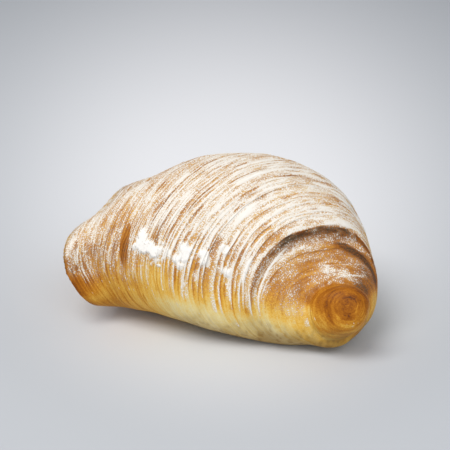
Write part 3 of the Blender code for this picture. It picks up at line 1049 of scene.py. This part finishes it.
def build_stage(camera):
    """A pale floor with a painted pool of light around the pastry and painted shade towards the sides of
    the picture.
    """
    nodes = Nodes("floor")
    place = nodes.add("ShaderNodeTexCoord").outputs["Object"]
    foot = Vector((camera.location.x, camera.location.y, 0))
    ahead = -direction(CAMERA_AZIMUTH, 0)
    aside = ahead.cross(Vector((0, 0, 1)))
    offset = nodes.vector_math("SUBTRACT", place, foot).outputs[0]
    distance = nodes.vector_math("DOT_PRODUCT", offset, ahead).outputs["Value"]
    distance = nodes.math("MAXIMUM", distance, LEAST_DISTANCE)
    across = nodes.vector_math("DOT_PRODUCT", offset, aside).outputs["Value"]
    across = nodes.math("DIVIDE", across, distance)
    down = nodes.math("SUBTRACT", nodes.math("DIVIDE", camera.location.z, distance), FLOOR_LIGHTEST_SLOPE)
    both = nodes.add("ShaderNodeCombineXYZ", X=across, Y=down).outputs[0]
    apart = nodes.vector_math("LENGTH", both).outputs["Value"]
    limits = {"From_Min": FLOOR_DIM_FROM, "From_Max": FLOOR_DIM_TO}
    painted_dim = nodes.add("ShaderNodeMapRange", [("interpolation_type", "SMOOTHSTEP")], Value=apart, **limits)
    # The painted pool of light fades into painted shade towards the sides.
    colour = nodes.mix(painted_dim.outputs[0], linear(FLOOR_PAINTED_LIGHT_COLOUR), linear(FLOOR_PAINTED_SHADE_COLOUR))
    mesh = bpy.data.meshes.new("floor")
    corners = [(FLOOR_SIZE * x, FLOOR_SIZE * y, 0) for x, y in ((-1, -1), (1, -1), (1, 1), (-1, 1))]
    mesh.from_pydata(corners, [], [(0, 1, 2, 3)])
    mesh.materials.append(nodes.surface(Base_Color=colour, Roughness=0.9))
    add_object("floor", mesh)


def area_light(name, place, aim, size, power, colour=(1.0, 1.0, 1.0)):
    data = bpy.data.lights.new(name, "AREA")
    data.size = size
    data.energy = power
    data.color = colour
    light = add_object(name, data)
    light.location = place
    light.rotation_euler = (Vector(aim) - Vector(place)).to_track_quat("-Z", "Y").to_euler()


CAMERA_AZIMUTH, CAMERA_ELEVATION, CAMERA_DISTANCE = 34.0, 23.5, 0.374
CAMERA_LENS, SENSOR = 85.0, 36.0
CAMERA_TARGET = (-14.8, 21.9, 21.1)  # in the plan of the shape functions
# The target lies so far right of and below the middle of the picture, as shares of its side.
TARGET_RIGHT, TARGET_BELOW = 4.0 / 450.0, 35.0 / 450.0


def direction(azimuth, elevation):
    """From the object towards a camera or a light."""
    across, up = math.radians(azimuth), math.radians(elevation)
    return Vector((math.sin(across) * math.cos(up), -math.cos(across) * math.cos(up), math.sin(up)))


def build_camera(shift):
    data = bpy.data.cameras.new("camera")
    data.lens, data.sensor_width = CAMERA_LENS, SENSOR
    camera = add_object("camera", data)
    target = Vector(CAMERA_TARGET + shift) * MM
    back = direction(CAMERA_AZIMUTH, CAMERA_ELEVATION)
    camera.location = target + back * CAMERA_DISTANCE
    right = Vector((math.cos(math.radians(CAMERA_AZIMUTH)), math.sin(math.radians(CAMERA_AZIMUTH)), 0))
    up = right.cross(-back)
    picture = CAMERA_DISTANCE * SENSOR / CAMERA_LENS
    aim = target - right * (TARGET_RIGHT * picture) + up * (TARGET_BELOW * picture)
    camera.rotation_euler = (aim - camera.location).to_track_quat("-Z", "Y").to_euler()
    bpy.context.scene.camera = camera
    return camera


def build_light():
    world = bpy.data.worlds.new("world")
    bpy.context.scene.world = world
    world.use_nodes = True
    background = world.node_tree.nodes["Background"]
    background.inputs["Color"].default_value = (0.93, 0.95, 1, 1)
    background.inputs["Strength"].default_value = 0.45
    aim = (0, 0, 0.02)
    key_place, fill_place = direction(-10, 60) * 1.4, direction(50, 34)
    area_light("key", key_place, aim, size=0.8, power=13, colour=(1, 0.98, 0.95))
    area_light("fill", fill_place, aim, size=0.7, power=3)
    bpy.context.scene.view_settings.view_transform = "Standard"


def shift_to_frame(*point_lists):
    """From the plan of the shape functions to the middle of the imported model's box."""
    lows = np.min([points.reshape(-1, 3).min(axis=0) for points in point_lists], axis=0)
    highs = np.max([points.reshape(-1, 3).max(axis=0) for points in point_lists], axis=0)
    middle = (lows + highs) / 2
    box_middle = (cad_box[0] + cad_box[1]) / (2 * MM)
    return np.array([box_middle.x - middle[0], box_middle.y - middle[1], 0])


points, looks = wound_points()
loop, angles = lip_loop()
lip, lip_looks = lip_points(angles)
shift = shift_to_frame(points, lip)
build_crust(points, looks, loop, lip, lip_looks, shift)
build_grains(points, looks["sugar"], shift)
build_stage(build_camera(shift))
build_light()
